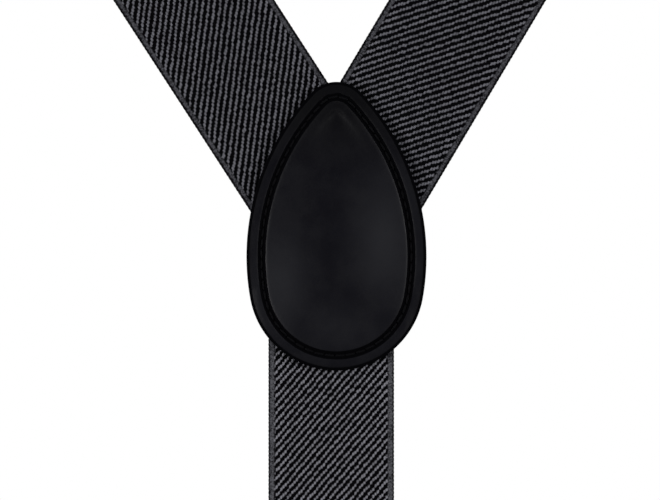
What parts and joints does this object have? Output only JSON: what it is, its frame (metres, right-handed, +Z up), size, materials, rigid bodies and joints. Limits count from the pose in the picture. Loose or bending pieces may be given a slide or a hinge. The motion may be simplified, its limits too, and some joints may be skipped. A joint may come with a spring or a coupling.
{
  "type": "y-back suspenders",
  "caption": "Y-back suspenders: grey twill elastic straps sewn into a black leather egg-shaped back yoke, with slide adjusters and metal clips, held as worn.",
  "frame": {"origin": "centre of the yoke's round bottom, on the backing face that rests on the wearer's back", "axes": "+Z up along the back strap; +Y from the yoke into the wearer, towards the chest; +X to the wearer's right"},
  "size_m": [0.282, 0.1895, 0.4673],
  "materials": {
    "black_leather": "smooth full-grain, satin",
    "leather_backing": "plain split leather, matte",
    "grey_twill_elastic": "steep twill woven elastic, matte",
    "black_thread": "bonded polyester thread",
    "nickel_steel": "nickel plated, satin",
    "black_plastic": "moulded, matte"
  },
  "bodies": {
    "yoke": {"yoke_front_patch": "black_leather", "yoke_back_patch": "leather_backing", "yoke_stitching": "black_thread", "left_shoulder_strap": "grey_twill_elastic", "right_shoulder_strap": "grey_twill_elastic", "left_chest_elastic": "grey_twill_elastic", "right_chest_elastic": "grey_twill_elastic", "back_strap": "grey_twill_elastic", "back_elastic": "grey_twill_elastic"},
    "left_strap": {"left_chest_strap": "grey_twill_elastic", "left_front_run": "grey_twill_elastic"},
    "left_strap_end": {"left_clip_loop": "grey_twill_elastic", "left_return_run": "grey_twill_elastic"},
    "left_adjuster": {"left_adjuster_frame": "nickel_steel", "left_adjuster_pin": "nickel_steel", "left_adjuster_loop": "grey_twill_elastic", "left_adjuster_stitching": "black_thread"},
    "left_adjuster_lock": {"left_adjuster_lever": "nickel_steel"},
    "left_clip": {"left_clip_frame": "nickel_steel", "left_clip_pin": "nickel_steel", "left_clip_grip_pad": "black_plastic"},
    "left_clip_lock": {"left_clip_lever": "nickel_steel", "left_clip_lever_pad": "black_plastic"},
    "right_strap": {"right_chest_strap": "grey_twill_elastic", "right_front_run": "grey_twill_elastic"},
    "right_strap_end": {"right_clip_loop": "grey_twill_elastic", "right_return_run": "grey_twill_elastic"},
    "right_adjuster": {"right_adjuster_frame": "nickel_steel", "right_adjuster_pin": "nickel_steel", "right_adjuster_loop": "grey_twill_elastic", "right_adjuster_stitching": "black_thread"},
    "right_adjuster_lock": {"right_adjuster_lever": "nickel_steel"},
    "right_clip": {"right_clip_frame": "nickel_steel", "right_clip_pin": "nickel_steel", "right_clip_grip_pad": "black_plastic"},
    "right_clip_lock": {"right_clip_lever": "nickel_steel", "right_clip_lever_pad": "black_plastic"},
    "back_strap_end": {"back_clip_loop": "grey_twill_elastic", "back_loop_stitching": "black_thread"},
    "back_clip": {"back_clip_frame": "nickel_steel", "back_clip_pin": "nickel_steel", "back_clip_grip_pad": "black_plastic"},
    "back_clip_lock": {"back_clip_lever": "nickel_steel", "back_clip_lever_pad": "black_plastic"}
  },
  "joints": [
    {"name": "left_strap_stretch", "type": "slide", "parent": "yoke", "child": "left_strap", "axis": [0, 0, -1], "range_m": [0, 0.04], "stiffness_N_per_m": 150, "springref_m": -0.006, "deforming": ["left_chest_elastic"]},
    {"name": "left_clip_travel", "type": "slide", "parent": "left_strap", "child": "left_strap_end", "axis": [0, 0, 1], "range_m": [-0.03, 0.05], "deforming": ["left_front_run"]},
    {"name": "left_adjuster_slide", "type": "slide", "parent": "left_strap_end", "child": "left_adjuster", "axis": [0, 0, 1], "range_m": [-0.03, 0.05], "deforming": ["left_return_run"]},
    {"name": "left_adjuster_lock_turn", "type": "hinge", "parent": "left_adjuster", "child": "left_adjuster_lock", "pos_m": [-0.12, 0.17592, -0.106], "axis": [1, 0, 0], "range_deg": [0, 90]},
    {"name": "left_clip_swing", "type": "hinge", "parent": "left_strap_end", "child": "left_clip", "pos_m": [-0.12, 0.17022, -0.222], "axis": [1, 0, 0], "range_deg": [-60, 60]},
    {"name": "left_clip_lock_turn", "type": "hinge", "parent": "left_clip", "child": "left_clip_lock", "pos_m": [-0.12, 0.17512, -0.254], "axis": [-1, 0, 0], "range_deg": [0, 95]},
    {"name": "right_strap_stretch", "type": "slide", "parent": "yoke", "child": "right_strap", "axis": [0, 0, -1], "range_m": [0, 0.04], "stiffness_N_per_m": 150, "springref_m": -0.006, "deforming": ["right_chest_elastic"]},
    {"name": "right_clip_travel", "type": "slide", "parent": "right_strap", "child": "right_strap_end", "axis": [0, 0, 1], "range_m": [-0.03, 0.05], "deforming": ["right_front_run"]},
    {"name": "right_adjuster_slide", "type": "slide", "parent": "right_strap_end", "child": "right_adjuster", "axis": [0, 0, 1], "range_m": [-0.03, 0.05], "deforming": ["right_return_run"]},
    {"name": "right_adjuster_lock_turn", "type": "hinge", "parent": "right_adjuster", "child": "right_adjuster_lock", "pos_m": [0.12, 0.17592, -0.106], "axis": [1, 0, 0], "range_deg": [0, 90]},
    {"name": "right_clip_swing", "type": "hinge", "parent": "right_strap_end", "child": "right_clip", "pos_m": [0.12, 0.17022, -0.222], "axis": [1, 0, 0], "range_deg": [-60, 60]},
    {"name": "right_clip_lock_turn", "type": "hinge", "parent": "right_clip", "child": "right_clip_lock", "pos_m": [0.12, 0.17512, -0.254], "axis": [-1, 0, 0], "range_deg": [0, 95]},
    {"name": "back_strap_stretch", "type": "slide", "parent": "yoke", "child": "back_strap_end", "axis": [0, 0, -1], "range_m": [0, 0.04], "stiffness_N_per_m": 150, "springref_m": -0.003, "deforming": ["back_elastic"]},
    {"name": "back_clip_swing", "type": "hinge", "parent": "back_strap_end", "child": "back_clip", "pos_m": [-0.0014, 0.0009, -0.222], "axis": [1, 0, 0], "range_deg": [-60, 60]},
    {"name": "back_clip_lock_turn", "type": "hinge", "parent": "back_clip", "child": "back_clip_lock", "pos_m": [-0.0014, -0.004, -0.254], "axis": [1, 0, 0], "range_deg": [0, 95]}
  ],
  "couplings": [
    {"joint": "left_adjuster_slide", "follows": "left_clip_travel", "ratio": 1},
    {"joint": "right_adjuster_slide", "follows": "right_clip_travel", "ratio": 1}
  ]
}
